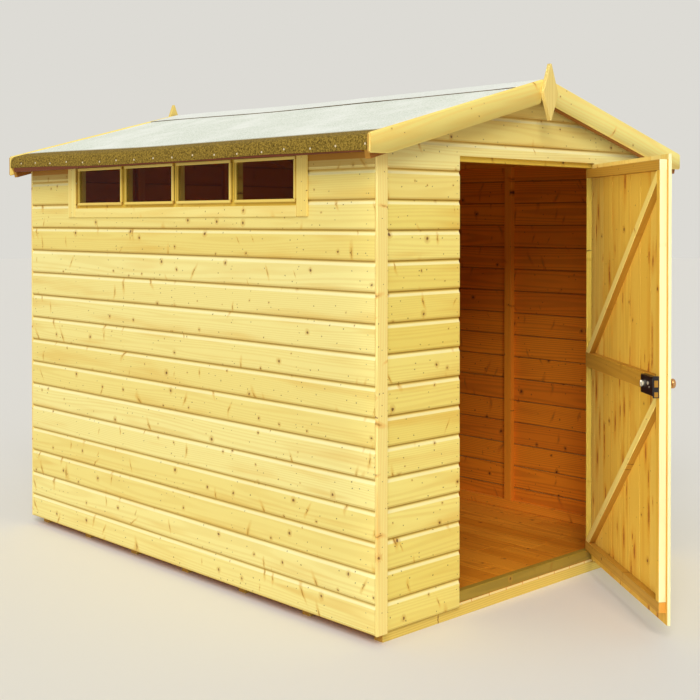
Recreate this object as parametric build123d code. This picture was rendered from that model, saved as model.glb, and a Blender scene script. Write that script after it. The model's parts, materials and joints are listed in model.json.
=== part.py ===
from build123d import *
import math
import os

# Apex garden shed in softwood: boarded walls on a batten frame, a pitched
# roof in mineral felt, a strip of high fixed windows in one long wall and
# one ledged and braced door that opens outward in the front gable.
# Millimetres. Origin: on the ground under the middle of the floor.
# +X is to the right and +Y to the rear, both seen from the front gable.

# ---- overall ----
shed_width = 1830.0          # over the boards of the two long walls
shed_length = 2440.0         # over the boards of the two gables
wall_height = 1834.0         # ground to the underside of the roof, at the face of a long wall
roof_pitch = 15.0            # degrees

# ---- floor ----
bearer_height = 41.0
bearer_width = 44.0
bearer_count = 7
bearer_end_inset = 52.0      # bearer end back from the face of the boards
floor_thickness = 12.0

# ---- walls ----
board_thickness = 12.0
board_drop = 14.0            # wall boards hang this far below the floor top
frame_depth = 28.0
frame_width = 44.0
bottom_rail_height = 43.0
side_stud_offset = 380.0     # middle studs of the plain long wall
rear_stud_offset = 290.0
corner_trim_width = 54.0
corner_trim_thickness = 12.0
corner_trim_drop = 1.0       # cover strips hang below the wall boards

# ---- doorway ----
opening_width = 880.0
opening_shift = -18.0        # middle of the doorway, from the middle of the gable
opening_top = 1770.0
head_lap = 21.0              # head rail laps below the boards as a door stop

# ---- windows ----
pane_count = 4
bay_pitch = 400.0            # middle to middle of the window studs
head_rail_height = 34.0      # window head rail, under the top rail
head_board_lap = 10.0        # boards over the window hang this far on to the head rail
glass_height = 155.0         # clear glass, from rail to rail
sill_reveal = 24.0           # sill rail shows this much over the cut in the boards
glass_thickness = 3.0
glass_lap = 8.0              # glass runs this far on to each rail and stud
bead_width = 12.0
bead_reveal = 2.0            # bead runs this far over the clear bay
bead_thickness = 9.0
window_trim_width = 65.0
window_trim_thickness = 7.0
sill_trim_height = 43.0

# ---- roof ----
deck_thickness = 10.0
felt_thickness = 3.0
barge_proud = 5.0            # barge boards stand above the felt
eaves_overhang = 89.0        # end of the deck out from the long wall
verge_overhang = 50.0        # end of the deck out from the gable
flap_depth = 60.0            # felt folded down over the eaves batten
flap_rise = 2.0              # batten ends this far above the felt's hem
cap_width = 360.0            # ridge strip, both slopes together
batten_width = 28.0          # eaves and verge battens
barge_thickness = 18.0
barge_depth = 95.0           # measured plumb
barge_tail_cut = 26.0        # height of the level cut at the tail
barge_tail_radius = 240.0    # eases the level cut into the raking edge
rear_barge_lift = 14.0       # rear barge boards and finial sit this much higher
barge_gap_top = 40.0         # between the two barge boards, behind the finial
barge_gap_bottom = 80.0
mitre_gap = 1.0
ridge_beam_width = 56.0
ridge_beam_depth = 60.0
purlin_offset = 450.0
purlin_width = 28.0
finial_width = 98.0
finial_rise = 57.0           # tip above the line of the barge boards
finial_drop = 173.0          # foot below it
finial_shoulder = 62.0       # widest place below it
finial_tip = 7.0             # the tip and the foot are cut this wide
finial_thickness = 18.0

# ---- door ----
door_angle = 53.0            # modelled this far open
door_gap = 8.0               # each side of the leaf
door_stop_gap = 5.0          # behind the leaf, to the head and bottom rails
door_top_gap = 7.0
door_floor_gap = 6.0         # above the floor
door_ledge_gap = 5.0         # ledges to head and bottom rails
door_board_thickness = 12.0
ledge_thickness = 28.0
top_ledge_height = 39.0
middle_ledge_height = 61.0
middle_ledge_centre = 925.0
bottom_ledge_height = 40.0
latch_edge_inset = 13.0      # stile and ledges back from the leaf's latch edge
stile_width = 30.0
brace_width = 32.0

# ---- hinges, lock and knob ----
pin_radius = 2.5
knuckle_radius = 4.5
pin_head = 1.5               # ends of the pin, beyond its outer knuckles
pin_clearance = 0.3
pin_from_opening = 3.0       # pin axis in from the edge of the doorway
knuckle_height = 38.0
knuckle_gap = 0.6
plate_thickness = 3.0
plate_height = 72.0
plate_width = 34.0
plate_set = 2.0              # plate back from the edge of the doorway
strap_length = 360.0
strap_root = 38.0
strap_tip = 20.0
lock_width = 124.0
lock_height = 69.0
lock_thickness = 23.0
lock_drop = 4.0              # middle of the lock below the middle of its ledge
lock_corner = 3.0
forend_thickness = 2.5
forend_height = 79.0
bolt_throw = 2.5             # what shows of the drawn bolts
latch_bolt_height = 24.0
latch_bolt_rise = 12.0       # middle of the latch bolt above the middle of the lock
dead_bolt_height = 18.0
dead_bolt_drop = 27.0
bolt_width = 14.0
knob_radius = 18.0
knob_neck_radius = 7.0
knob_grip = 17.0             # length of the rounded part
knob_round = 6.0
knob_reach = 38.0
rose_radius = 22.0
rose_thickness = 3.0
knob_inset = 62.0            # knob axis back from the latch edge
spindle_rise = 6.0           # knob axis above the middle of the lock

# ---- derived lines ----
half_width = shed_width / 2
half_length = shed_length / 2
slope = math.tan(math.radians(roof_pitch))
plumb = 1 / math.cos(math.radians(roof_pitch))
floor_top = bearer_height + floor_thickness
board_bottom = floor_top - board_drop
rail_top = floor_top + bottom_rail_height
frame_x = half_width - board_thickness
frame_y = half_length - board_thickness
room_x = frame_x - frame_depth
room_y = frame_y - frame_depth
opening_left = opening_shift - opening_width / 2
opening_right = opening_shift + opening_width / 2
deck_end_x = half_width + eaves_overhang
deck_end_y = half_length + verge_overhang
barge_y = deck_end_y + barge_thickness


def under_line(x):
    return wall_height + slope * (half_width - abs(x))


def deck_line(x):
    return under_line(x) + deck_thickness * plumb


def felt_line(x):
    return deck_line(x) + felt_thickness * plumb


def barge_line(x):
    return felt_line(x) + barge_proud


def rafter_line(x):
    return under_line(x) - frame_width * plumb


def block(x0, x1, y0, y1, z0, z1):
    size = (x1 - x0, y1 - y0, z1 - z0)
    return Pos((x0 + x1) / 2, (y0 + y1) / 2, (z0 + z1) / 2) * Box(*size)


def gable_profile(points, y0, y1):
    """Outline in x and z, extruded along the shed from y0 to y1."""
    face = make_face(Polyline(*[(x, y0, z) for x, z in points], close=True))
    return extrude(face, amount=y1 - y0, dir=(0, 1, 0))


def both_sides(shape):
    return [shape, mirror(shape, about=Plane.YZ)]


def both_ends(shape):
    return [shape, mirror(shape, about=Plane.XZ)]


def four_corners(shape):
    return [s for end in both_ends(shape) for s in both_sides(end)]


nodes = {}


def keep(name, *shapes):
    flat = []
    for s in shapes:
        flat.extend(s if isinstance(s, (list, tuple)) else [s])
    solids = [solid for s in flat for solid in s.solids()]
    nodes[name] = solids[0] if len(solids) == 1 else Compound(children=solids)


# ---- floor ----
bearer_step = (2 * frame_y - bearer_width) / (bearer_count - 1)
bearer_x = half_width - bearer_end_inset
bearers = []
for i in range(bearer_count):
    y = -frame_y + i * bearer_step
    bearers.append(block(-bearer_x, bearer_x, y, y + bearer_width, 0, bearer_height))
keep("floor_bearers", bearers)
keep("floor_boards", block(-frame_x, frame_x, -frame_y, frame_y, bearer_height, floor_top))


# ---- gables ----
def gable_boards(x0, x1, z0):
    points = [(x0, z0), (x1, z0), (x1, under_line(x1))]
    if x0 < 0 < x1:
        points.append((0, under_line(0)))
    points.append((x0, under_line(x0)))
    return gable_profile(points, -half_length, -frame_y)


keep("front_boards_left", gable_boards(-frame_x, opening_left, board_bottom))
keep("front_boards_right", gable_boards(opening_right, frame_x, board_bottom))
keep("front_boards_gable", gable_boards(opening_left, opening_right, opening_top))
keep("rear_boards", mirror(gable_boards(-frame_x, frame_x, board_bottom), about=Plane.XZ))


def gable_stud(x0, x1):
    points = [(x0, rail_top), (x1, rail_top), (x1, rafter_line(x1)), (x0, rafter_line(x0))]
    return gable_profile(points, -frame_y, -room_y)


corner_stud = gable_stud(-room_x, -room_x + frame_width)
keep(
    "front_studs",
    both_sides(corner_stud),
    gable_stud(opening_left - frame_width, opening_left),
    gable_stud(opening_right, opening_right + frame_width),
)
rear_stud = gable_stud(-rear_stud_offset - frame_width / 2, -rear_stud_offset + frame_width / 2)
keep("rear_studs", [mirror(s, about=Plane.XZ) for s in both_sides(corner_stud) + both_sides(rear_stud)])
keep("gable_bottom_rails", both_ends(block(-room_x, room_x, -frame_y, -room_y, floor_top, rail_top)))
raking_rail = gable_profile(
    [
        (-room_x, under_line(room_x)),
        (-mitre_gap / 2, under_line(mitre_gap / 2)),
        (-mitre_gap / 2, rafter_line(mitre_gap / 2)),
        (-room_x, rafter_line(room_x)),
    ],
    -frame_y,
    -room_y,
)
keep("raking_rails", four_corners(raking_rail))
head_bottom = opening_top - head_lap
keep(
    "door_head_rail",
    block(opening_left, opening_right, -frame_y, -room_y, head_bottom, head_bottom + frame_width),
)


# ---- long walls ----
def side_boards(y0, y1, z0, z1=None):
    """Left wall boards; with no z1 they run up to the bevel under the deck."""
    top_out = under_line(half_width) if z1 is None else z1
    top_in = under_line(frame_x) if z1 is None else z1
    points = [(-half_width, z0), (-frame_x, z0), (-frame_x, top_in), (-half_width, top_out)]
    return gable_profile(points, y0, y1)


window_half = pane_count * bay_pitch / 2
side_rail_bottom = under_line(frame_x) - frame_width
glass_top = side_rail_bottom - head_rail_height
glass_bottom = glass_top - glass_height
window_head = side_rail_bottom - head_board_lap
window_sill = glass_bottom - sill_reveal
keep("right_boards", mirror(side_boards(-half_length, half_length, board_bottom), about=Plane.YZ))
keep("left_boards_lower", side_boards(-half_length, half_length, board_bottom, window_sill))
keep("left_boards_sides", both_ends(side_boards(-half_length, -window_half, window_sill)))
keep("left_boards_head", side_boards(-window_half, window_half, window_head))

keep("side_bottom_rails", both_sides(block(-frame_x, -room_x, -frame_y, frame_y, floor_top, rail_top)))
top_rail = gable_profile(
    [
        (-frame_x, side_rail_bottom),
        (-room_x, side_rail_bottom),
        (-room_x, under_line(room_x)),
        (-frame_x, under_line(frame_x)),
    ],
    -frame_y,
    frame_y,
)
keep("side_top_rails", both_sides(top_rail))


def side_stud(y):
    half = frame_width / 2
    return block(-frame_x, -room_x, y - half, y + half, rail_top, side_rail_bottom)


corner_y = frame_y - frame_width / 2
window_stud_y = [-window_half + i * bay_pitch for i in range(pane_count + 1)]
keep("left_studs", [side_stud(y) for y in [-corner_y] + window_stud_y + [corner_y]])
right_stud_y = [-corner_y, -side_stud_offset, side_stud_offset, corner_y]
keep("right_studs", [mirror(side_stud(y), about=Plane.YZ) for y in right_stud_y])

# ---- windows ----
window_rails = []
panes = []
beads = []
for y in window_stud_y[:-1]:
    y0 = y + frame_width / 2
    y1 = y + bay_pitch - frame_width / 2
    window_rails.append(block(-frame_x, -room_x, y0, y1, glass_bottom - frame_width, glass_bottom))
    window_rails.append(block(-frame_x, -room_x, y0, y1, glass_top, side_rail_bottom))
    glass_x = -frame_x - glass_thickness
    panes.append(
        block(
            glass_x,
            -frame_x,
            y0 - glass_lap,
            y1 + glass_lap,
            glass_bottom - glass_lap,
            glass_top + glass_lap,
        )
    )
    outer = bead_width - bead_reveal
    inner = bead_reveal
    frame = block(
        glass_x - bead_thickness,
        glass_x,
        y0 - outer,
        y1 + outer,
        glass_bottom - outer,
        glass_top + outer,
    )
    hole = block(
        glass_x - bead_thickness - 1,
        glass_x + 1,
        y0 + inner,
        y1 - inner,
        glass_bottom + inner,
        glass_top - inner,
    )
    beads.append(frame - hole)
keep("window_rails", window_rails)
keep("window_panes", panes)
keep("window_beads", beads)
trim_x = half_width + window_trim_thickness
trim_bottom = window_sill - sill_trim_height
side_trim_top = under_line(trim_x) - 2
side_trim = block(
    -trim_x,
    -half_width,
    -window_half - window_trim_width,
    -window_half,
    trim_bottom,
    side_trim_top,
)
keep("window_side_trims", both_ends(side_trim))
keep(
    "window_sill_trim",
    block(-trim_x, -half_width, -window_half, window_half, trim_bottom, window_sill),
)

# ---- corner cover strips ----
strip_bottom = board_bottom - corner_trim_drop
strip_in = half_width - corner_trim_width
strip = gable_profile(
    [
        (-half_width, strip_bottom),
        (-strip_in, strip_bottom),
        (-strip_in, under_line(strip_in)),
        (-half_width, under_line(half_width)),
    ],
    -half_length - corner_trim_thickness,
    -half_length,
)
keep("corner_trims", four_corners(strip))

# ---- roof ----
deck = gable_profile(
    [
        (-deck_end_x, deck_line(deck_end_x)),
        (0, deck_line(0)),
        (0, under_line(0)),
        (-deck_end_x, under_line(deck_end_x)),
    ],
    -deck_end_y,
    deck_end_y,
)
keep("roof_deck_left", deck)
keep("roof_deck_right", mirror(deck, about=Plane.YZ))

felt_edge_x = deck_end_x + felt_thickness
hem = felt_line(felt_edge_x) - flap_depth
felt = gable_profile(
    [
        (0, felt_line(0)),
        (-felt_edge_x, felt_line(felt_edge_x)),
        (-felt_edge_x, hem),
        (-deck_end_x, hem),
        (-deck_end_x, deck_line(deck_end_x)),
        (0, deck_line(0)),
    ],
    -deck_end_y,
    deck_end_y,
)
keep("roof_felt_left", felt)
keep("roof_felt_right", mirror(felt, about=Plane.YZ))

cap_x = cap_width / 2 * math.cos(math.radians(roof_pitch))
cap_rise = felt_thickness * plumb
keep(
    "ridge_cap",
    gable_profile(
        [
            (-cap_x, felt_line(cap_x)),
            (0, felt_line(0)),
            (cap_x, felt_line(cap_x)),
            (cap_x, felt_line(cap_x) + cap_rise),
            (0, felt_line(0) + cap_rise),
            (-cap_x, felt_line(cap_x) + cap_rise),
        ],
        -deck_end_y,
        deck_end_y,
    ),
)

batten_in_x = deck_end_x - batten_width
batten_end_y = deck_end_y - batten_width
batten_bottom = hem + flap_rise
eaves_batten = gable_profile(
    [
        (-deck_end_x, batten_bottom),
        (-batten_in_x, batten_bottom),
        (-batten_in_x, under_line(batten_in_x)),
        (-deck_end_x, under_line(deck_end_x)),
    ],
    -batten_end_y,
    batten_end_y,
)
keep("eaves_battens", both_sides(eaves_batten))

# the verge battens back the barge boards down to the same raking edge, and
# their lower ends are cut square to the slope
verge_drop = under_line(0) - barge_line(0) + barge_depth
square_cut_x = deck_end_x - verge_drop / plumb * math.sin(math.radians(roof_pitch))
top_gap_x = barge_gap_top / 2
bottom_gap_x = barge_gap_bottom / 2
verge_batten = gable_profile(
    [
        (-deck_end_x, under_line(deck_end_x)),
        (-top_gap_x, under_line(top_gap_x)),
        (-bottom_gap_x, under_line(bottom_gap_x) - verge_drop),
        (-square_cut_x, under_line(square_cut_x) - verge_drop),
    ],
    -deck_end_y,
    -batten_end_y,
)
keep("verge_battens", four_corners(verge_batten))

# the front pair has a level cut at the tail, and the rear pair is left plumb
tail_cut_z = barge_line(felt_edge_x) - barge_depth + barge_tail_cut
tail_cut_x = felt_edge_x - barge_tail_cut / slope
front_barge = gable_profile(
    [
        (-top_gap_x, barge_line(top_gap_x)),
        (-felt_edge_x, barge_line(felt_edge_x)),
        (-felt_edge_x, tail_cut_z),
        (-tail_cut_x, tail_cut_z),
        (-bottom_gap_x, barge_line(bottom_gap_x) - barge_depth),
    ],
    -barge_y,
    -deck_end_y,
)
tail_corner = front_barge.edges().filter_by(Axis.Y).sort_by_distance((-tail_cut_x, -barge_y, tail_cut_z))[0]
front_barge = fillet(tail_corner, barge_tail_radius)
rear_barge = gable_profile(
    [
        (-top_gap_x, barge_line(top_gap_x) + rear_barge_lift),
        (-felt_edge_x, barge_line(felt_edge_x) + rear_barge_lift),
        (-felt_edge_x, barge_line(felt_edge_x) + rear_barge_lift - barge_depth),
        (-bottom_gap_x, barge_line(bottom_gap_x) + rear_barge_lift - barge_depth),
    ],
    deck_end_y,
    barge_y,
)
keep("barge_boards", both_sides(front_barge), both_sides(rear_barge))

tip_x = finial_tip / 2
finial_foot_z = barge_line(0) - finial_drop
finial_shoulder_z = barge_line(0) - finial_shoulder
finial_top_z = barge_line(0) + finial_rise
finial = gable_profile(
    [
        (-tip_x, finial_foot_z),
        (tip_x, finial_foot_z),
        (finial_width / 2, finial_shoulder_z),
        (tip_x, finial_top_z),
        (-tip_x, finial_top_z),
        (-finial_width / 2, finial_shoulder_z),
    ],
    -barge_y - finial_thickness,
    -barge_y,
)
keep("finials", finial, Pos(0, 0, rear_barge_lift) * mirror(finial, about=Plane.XZ))

beam_x = ridge_beam_width / 2
beam_bottom = under_line(0) - ridge_beam_depth
keep(
    "ridge_beam",
    gable_profile(
        [
            (-beam_x, beam_bottom),
            (beam_x, beam_bottom),
            (beam_x, under_line(beam_x)),
            (0, under_line(0)),
            (-beam_x, under_line(beam_x)),
        ],
        -room_y,
        room_y,
    ),
)
purlin_x0 = purlin_offset - purlin_width / 2
purlin_x1 = purlin_offset + purlin_width / 2
purlin = gable_profile(
    [
        (-purlin_x1, under_line(purlin_x1)),
        (-purlin_x0, under_line(purlin_x0)),
        (-purlin_x0, rafter_line(purlin_x0)),
        (-purlin_x1, rafter_line(purlin_x1)),
    ],
    -room_y,
    room_y,
)
keep("purlins", both_sides(purlin))

# ---- door, drawn shut and then swung open about the hinge pins ----
leaf_hinge_x = opening_right - door_gap
leaf_latch_x = opening_left + door_gap
leaf_back_y = -frame_y - door_stop_gap
leaf_face_y = leaf_back_y - door_board_thickness
ledge_back_y = leaf_back_y + ledge_thickness
leaf_bottom = floor_top + door_floor_gap
leaf_top = opening_top - door_top_gap
pin_x = opening_right - pin_from_opening
pin_y = leaf_face_y - knuckle_radius
swing = Pos(pin_x, pin_y, 0) * Rot(0, 0, door_angle) * Pos(-pin_x, -pin_y, 0)

ledge_latch_x = leaf_latch_x + latch_edge_inset
stile_in_x = ledge_latch_x + stile_width
bottom_ledge_z = rail_top + door_ledge_gap
bottom_ledge_top = bottom_ledge_z + bottom_ledge_height
top_ledge_top = head_bottom - door_ledge_gap
top_ledge_z = top_ledge_top - top_ledge_height
middle_ledge_z = middle_ledge_centre - middle_ledge_height / 2
middle_ledge_top = middle_ledge_z + middle_ledge_height


def ledge(x0, z0, z1):
    return block(x0, leaf_hinge_x, leaf_back_y, ledge_back_y, z0, z1)


def brace(z_low, z_high):
    """Diagonal bar from the hinge edge at z_low up to the stile at z_high."""
    run = leaf_hinge_x - stile_in_x
    rise = z_high - z_low
    length = math.hypot(run, rise)
    foot = brace_width * length / rise
    side = brace_width * length / run
    points = [
        (leaf_hinge_x, z_low),
        (leaf_hinge_x - foot, z_low),
        (stile_in_x, z_high - side),
        (stile_in_x, z_high),
    ]
    return gable_profile(points, leaf_back_y, ledge_back_y)


keep(
    "door_boards",
    swing * block(leaf_latch_x, leaf_hinge_x, leaf_face_y, leaf_back_y, leaf_bottom, leaf_top),
)
keep(
    "door_ledges",
    swing * ledge(ledge_latch_x, bottom_ledge_z, bottom_ledge_top),
    swing * ledge(stile_in_x, middle_ledge_z, middle_ledge_top),
    swing * ledge(ledge_latch_x, top_ledge_z, top_ledge_top),
)
keep(
    "door_stile",
    swing * block(ledge_latch_x, stile_in_x, leaf_back_y, ledge_back_y, bottom_ledge_top, top_ledge_z),
)
keep(
    "door_braces",
    swing * brace(bottom_ledge_top, middle_ledge_z),
    swing * brace(middle_ledge_top, top_ledge_z),
)

# ---- tee hinges: three knuckles on a fixed pin, the middle one rolled
# from the strap on the leaf, the outer two from the plate on the wall ----
hinge_z = [
    (bottom_ledge_z + bottom_ledge_top) / 2,
    middle_ledge_centre,
    (top_ledge_z + top_ledge_top) / 2,
]
strap_y = leaf_face_y - plate_thickness
plate_x = opening_right + plate_set
step_x = plate_x + 2 * plate_thickness
plate_end = plate_height / 2
knuckle_end = knuckle_height / 2
outer_knuckle = knuckle_end + knuckle_gap


def pin_cylinder(z0, z1, radius):
    return Pos(pin_x, pin_y, (z0 + z1) / 2) * Cylinder(radius, z1 - z0)


def hinge_plate(z):
    """Wall plate, stepped forward to its two knuckles, with the pin."""
    wall_y = -half_length - plate_thickness
    plate = block(plate_x, plate_x + plate_width, wall_y, -half_length, z - plate_end, z + plate_end)
    plate += pin_cylinder(z - plate_end - pin_head, z + plate_end + pin_head, pin_radius)
    for z0, z1 in ((z - plate_end, z - outer_knuckle), (z + outer_knuckle, z + plate_end)):
        plate += pin_cylinder(z0, z1, knuckle_radius)
        plate += block(pin_x, step_x, strap_y, leaf_face_y, z0, z1)
        plate += block(plate_x, step_x, strap_y, -half_length, z0, z1)
    return plate


def hinge_strap(z):
    """Tapered strap with a round tip, and the bored knuckle at its root."""
    tip = leaf_hinge_x - strap_length
    outline = [
        (pin_x, z - strap_root / 2),
        (pin_x, z + strap_root / 2),
        (tip, z + strap_tip / 2),
        (tip, z - strap_tip / 2),
    ]
    strap = gable_profile(outline, strap_y, leaf_face_y)
    end = Pos(tip, (strap_y + leaf_face_y) / 2, z) * Rot(90, 0, 0)
    strap += end * Cylinder(strap_tip / 2, plate_thickness)
    strap += pin_cylinder(z - knuckle_end, z + knuckle_end, knuckle_radius)
    strap -= pin_cylinder(z - plate_end, z + plate_end, pin_radius + pin_clearance)
    return swing * strap


keep("hinge_plates", [hinge_plate(z) for z in hinge_z])
keep("hinge_straps", [hinge_strap(z) for z in hinge_z])

# ---- rim lock on the stile and middle ledge, its bolts, and the knob outside ----
lock_x0 = ledge_latch_x + forend_thickness
lock_z = middle_ledge_centre - lock_drop
lock_y1 = ledge_back_y + lock_thickness
lock_case = block(
    lock_x0,
    lock_x0 + lock_width,
    ledge_back_y,
    lock_y1,
    lock_z - lock_height / 2,
    lock_z + lock_height / 2,
)
case_front = lock_case.faces().sort_by(Axis.Y)[-1]
lock_case = chamfer(case_front.edges(), lock_corner)
forend = block(
    ledge_latch_x,
    lock_x0,
    ledge_back_y,
    lock_y1,
    lock_z - forend_height / 2,
    lock_z + forend_height / 2,
)
keep("rim_lock", swing * (lock_case + forend))

bolt_y = (ledge_back_y + lock_y1) / 2


def bolt(z, height):
    y0 = bolt_y - bolt_width / 2
    return swing * block(
        ledge_latch_x - bolt_throw, ledge_latch_x, y0, y0 + bolt_width, z - height / 2, z + height / 2
    )


keep(
    "lock_bolts",
    bolt(lock_z + latch_bolt_rise, latch_bolt_height),
    bolt(lock_z - dead_bolt_drop, dead_bolt_height),
)


def turned(radius, y0, y1):
    """Round part of the knob, from y0 to y1 out from the face of the leaf."""
    shape = Cylinder(radius, y1 - y0, align=(Align.CENTER, Align.CENTER, Align.MIN))
    return Pos(0, 0, y0) * shape


grip = turned(knob_radius, knob_reach - knob_grip, knob_reach)
grip = fillet(grip.edges().filter_by(GeomType.CIRCLE), knob_round)
knob = turned(rose_radius, 0, rose_thickness) + turned(knob_neck_radius, 0, knob_reach - knob_grip / 2) + grip
knob_place = Pos(leaf_latch_x + knob_inset, leaf_face_y, lock_z + spindle_rise) * Rot(90, 0, 0)
keep("door_knob", swing * knob_place * knob)

os.makedirs("parts", exist_ok=True)
for name, shape in nodes.items():
    export_step(shape, f"parts/{name}.step")
print(len(nodes), "nodes")
print("pin", round(pin_x, 3), round(pin_y, 3))
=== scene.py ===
import bpy
import bmesh
import json
import math
import random
from mathutils import Matrix, Vector


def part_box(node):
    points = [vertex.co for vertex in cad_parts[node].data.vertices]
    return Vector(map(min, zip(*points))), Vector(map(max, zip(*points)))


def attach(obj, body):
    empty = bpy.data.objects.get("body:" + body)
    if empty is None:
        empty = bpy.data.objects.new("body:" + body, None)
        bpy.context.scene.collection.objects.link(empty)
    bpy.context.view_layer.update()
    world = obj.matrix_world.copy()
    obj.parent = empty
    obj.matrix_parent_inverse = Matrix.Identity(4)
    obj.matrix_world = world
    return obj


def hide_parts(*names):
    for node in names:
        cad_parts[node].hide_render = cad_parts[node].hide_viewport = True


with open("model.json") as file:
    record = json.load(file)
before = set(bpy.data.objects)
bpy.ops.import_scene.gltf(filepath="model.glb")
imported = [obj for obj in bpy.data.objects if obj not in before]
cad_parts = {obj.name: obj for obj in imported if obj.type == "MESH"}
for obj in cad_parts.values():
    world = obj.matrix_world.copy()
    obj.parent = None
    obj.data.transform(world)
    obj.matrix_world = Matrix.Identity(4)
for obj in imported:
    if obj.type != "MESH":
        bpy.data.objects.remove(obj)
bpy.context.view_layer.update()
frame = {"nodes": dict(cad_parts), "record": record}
nodes = frame["nodes"]
scene = bpy.context.scene


# ---- floor bearers ----
# Seven sawn softwood battens laid across the shed, flat on the ground. They
# carry the floor boards, and their ends show under the long walls.

def linear(colour):
    """An sRGB hex colour as linear red, green, blue and a full alpha."""
    shares = [int(colour[i:i + 2], 16) / 255 for i in (1, 3, 5)]
    return [s / 12.92 if s <= 0.04045 else ((s + 0.055) / 1.055) ** 2.4 for s in shares] + [1.0]


def feed(tree, node, inputs):
    """Gives a node its inputs, as values or as links from other nodes."""
    for key, value in inputs.items():
        if isinstance(value, bpy.types.NodeSocket):
            tree.links.new(value, node.inputs[key])
        else:
            node.inputs[key].default_value = value


def add(tree, kind, settings=None, inputs=None):
    """Adds a node with its settings and its inputs."""
    made = tree.nodes.new(kind)
    for key, value in (settings or {}).items():
        setattr(made, key, value)
    feed(tree, made, inputs or {})
    return made


def new_material(name):
    """An empty material, its node tree and its shader."""
    material = bpy.data.materials.new(name)
    material.use_nodes = True
    return material, material.node_tree, material.node_tree.nodes["Principled BSDF"]


def fading(tree, distance, chosen, far, near):
    """1 within the near distance of a chosen cell's middle, easing to 0 at the far one."""
    eased = add(tree, "ShaderNodeMapRange", {"interpolation_type": "SMOOTHSTEP"},
                {"Value": distance, "From Min": far, "From Max": near})
    return add(tree, "ShaderNodeMath", {"operation": "MULTIPLY"}, {0: eased.outputs[0], 1: chosen}).outputs[0]


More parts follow.
